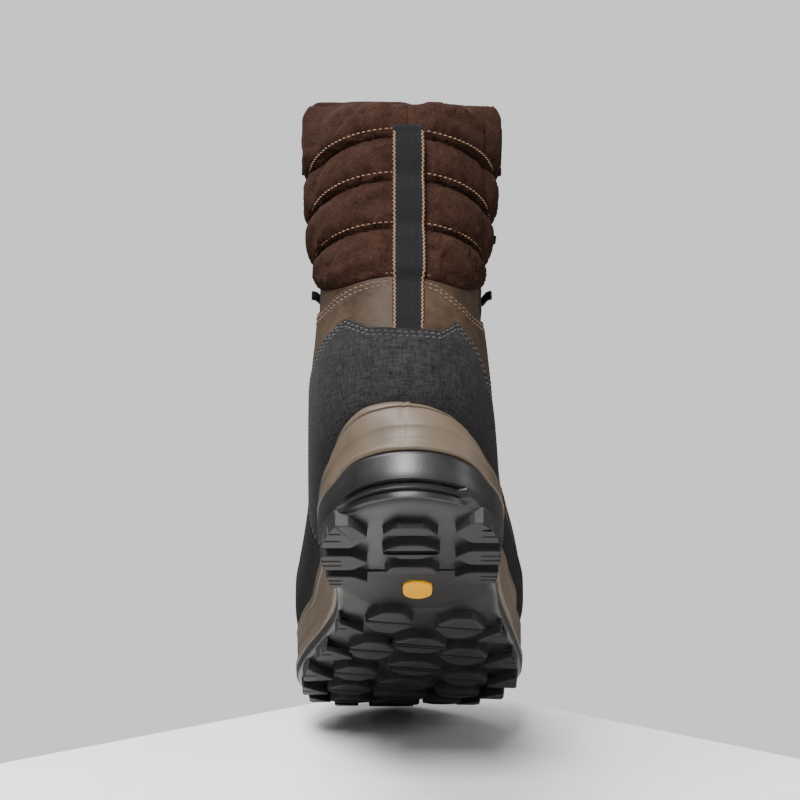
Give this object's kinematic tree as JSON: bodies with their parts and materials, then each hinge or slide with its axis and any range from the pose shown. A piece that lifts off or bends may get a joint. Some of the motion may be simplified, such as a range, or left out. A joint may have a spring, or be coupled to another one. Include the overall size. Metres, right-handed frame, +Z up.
{
  "type": "insulated hunting boot",
  "caption": "Laced, insulated leather hunting boot for the right foot, with a quilted collar, a lugged rubber sole and a removable footbed.",
  "frame": {"origin": "on the ground under the middle lug of the heel", "axes": "+Z up, +Y from heel to toe, +X to the outer side of the right foot"},
  "size_m": [0.1172, 0.3101, 0.3028],
  "materials": {
    "leather": "oiled nubuck",
    "suede": "brushed suede",
    "textile": "coarse abrasion-proof weave",
    "tongue": "woven nylon",
    "webbing": "herringbone webbing",
    "lining": "napped lining over insulation",
    "lace": "braided cord",
    "rubber": "moulded rubber",
    "shank": "satin moulding",
    "foam": "satin polyurethane",
    "insert": "smooth moulding",
    "board": "fibre board",
    "footbed": "knit over foam",
    "metal": "black lacquer",
    "aglet": "clear film over braid"
  },
  "bodies": {
    "boot": {"outsole": "rubber", "shank_plate": "shank", "sole_insert": "insert", "midsole": "foam", "insole_board": "board", "toe_puff": "board", "heel_counter": "board", "insulated_liner": "lining", "vamp": "leather", "medial_quarter": "leather", "lateral_quarter": "leather", "heel_counter_cover": "leather", "heel_panel": "textile", "toe_rand": "rubber", "medial_eyestay": "leather", "lateral_eyestay": "leather", "medial_collar_pad": "suede", "lateral_collar_pad": "suede", "back_strap": "webbing", "medial_lace_loop_1": "metal", "lateral_lace_loop_1": "metal", "medial_lace_loop_2": "metal", "lateral_lace_loop_2": "metal", "medial_lace_loop_3": "metal", "lateral_lace_loop_3": "metal", "medial_lace_loop_4": "metal", "lateral_lace_loop_4": "metal", "medial_lace_hook_5": "metal", "lateral_lace_hook_5": "metal", "medial_lace_hook_6": "metal", "lateral_lace_hook_6": "metal", "medial_lace_hook_7": "metal", "lateral_lace_hook_7": "metal", "lace_run": "lace", "lace_knot": "lace", "medial_bow_loop": "lace", "lateral_bow_loop": "lace", "medial_lace_end": "lace", "lateral_lace_end": "lace", "medial_aglet": "aglet", "lateral_aglet": "aglet"},
    "tongue": {"tongue": "tongue"},
    "footbed": {"footbed": "footbed"}
  },
  "joints": [
    {"name": "tongue_tilt", "type": "hinge", "parent": "boot", "child": "tongue", "pos_m": [-0.0045, 0.118, 0.097], "axis": [1, 0, 0], "range_deg": [0, 9], "stiffness_Nm_per_rad": 1.5},
    {"name": "footbed_lift", "type": "hinge", "parent": "boot", "child": "footbed", "pos_m": [0, 0.238, 0.046], "axis": [-1, 0, 0], "range_deg": [0, 6]}
  ]
}
